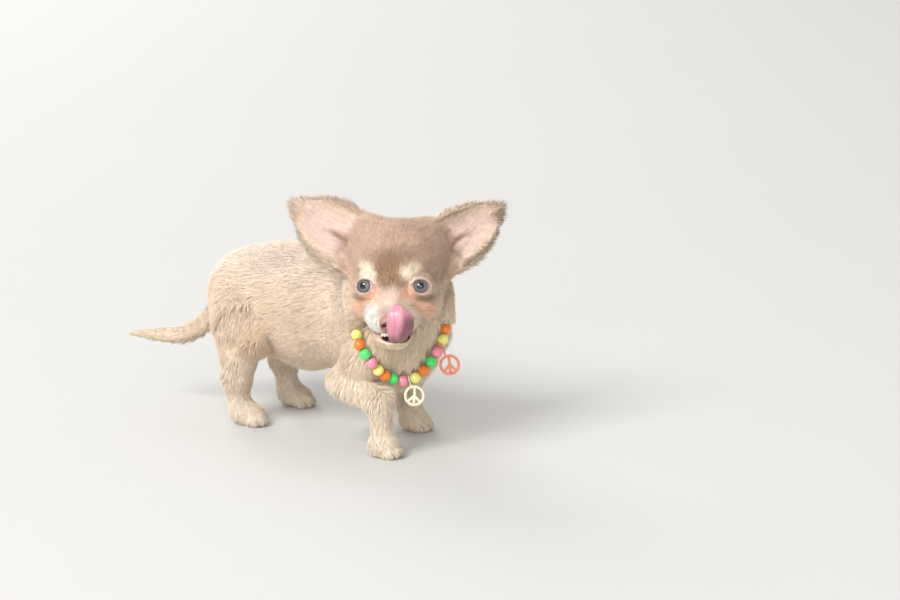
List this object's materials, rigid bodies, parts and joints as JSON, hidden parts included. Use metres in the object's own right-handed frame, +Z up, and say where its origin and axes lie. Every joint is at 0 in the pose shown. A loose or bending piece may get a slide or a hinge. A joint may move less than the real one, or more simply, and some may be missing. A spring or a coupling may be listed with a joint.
{
  "type": "chihuahua puppy",
  "caption": "Life-size chihuahua puppy standing in mid-step, head turned to the side, tongue over its nose, wearing a round-bead necklace with two ring charms.",
  "frame": {"origin": "on the floor, under the middle of the object's box", "axes": "+X from the rump to the chest, +Y to the puppy's left, +Z up"},
  "size_m": [0.2718, 0.1264, 0.1704],
  "materials": {
    "coat": "soft tan fur, darker on the flank and crown, paler below",
    "coat_cream": "soft cream fur",
    "nose_leather": "moist brown-pink nose leather",
    "tongue": "wet pink tongue",
    "eye": "wet, grey-blue iris round a dark pupil",
    "bead_yellow": "glossy",
    "bead_orange": "glossy",
    "bead_green": "glossy",
    "bead_pink": "glossy",
    "charm_cream": "glossy",
    "charm_orange": "satin",
    "elastic": "clear white elastic"
  },
  "bodies": {
    "root": {"rump": "coat", "belly": "coat", "chest": "coat", "neck": "coat", "tail_base": "coat", "tail_tip": "coat_cream", "head": "coat", "lower_jaw": "coat_cream", "ear_right": "coat", "ear_left": "coat", "thigh_hind_right": "coat", "shank_hind_right": "coat", "foot_hind_right": "coat_cream", "thigh_hind_left": "coat", "shank_hind_left": "coat", "foot_hind_left": "coat_cream", "shoulder_fore_right": "coat", "forearm_fore_right": "coat", "paw_fore_right": "coat_cream", "shoulder_fore_left": "coat", "forearm_fore_left": "coat", "paw_fore_left": "coat_cream", "nose": "nose_leather", "tongue": "tongue", "eye_right": "eye", "eye_left": "eye", "string": "elastic", "charm_cream": "charm_cream", "charm_orange": "charm_orange", "bead_01": "bead_yellow", "bead_02": "bead_orange", "bead_03": "bead_green", "bead_04": "bead_pink", "bead_05": "bead_yellow", "bead_06": "bead_orange", "bead_07": "bead_green", "bead_08": "bead_pink", "bead_09": "bead_yellow", "bead_10": "bead_orange", "bead_11": "bead_green", "bead_12": "bead_pink", "bead_13": "bead_yellow", "bead_14": "bead_orange", "bead_15": "bead_green", "bead_16": "bead_pink", "bead_17": "bead_yellow", "bead_18": "bead_orange", "bead_19": "bead_green", "bead_20": "bead_pink", "bead_21": "bead_yellow", "bead_22": "bead_orange", "bead_23": "bead_green", "bead_24": "bead_pink", "bead_25": "bead_yellow", "bead_26": "bead_orange", "bead_27": "bead_green", "bead_28": "bead_pink", "bead_29": "bead_yellow", "bead_30": "bead_orange", "bead_31": "bead_green"}
  },
  "joints": []
}
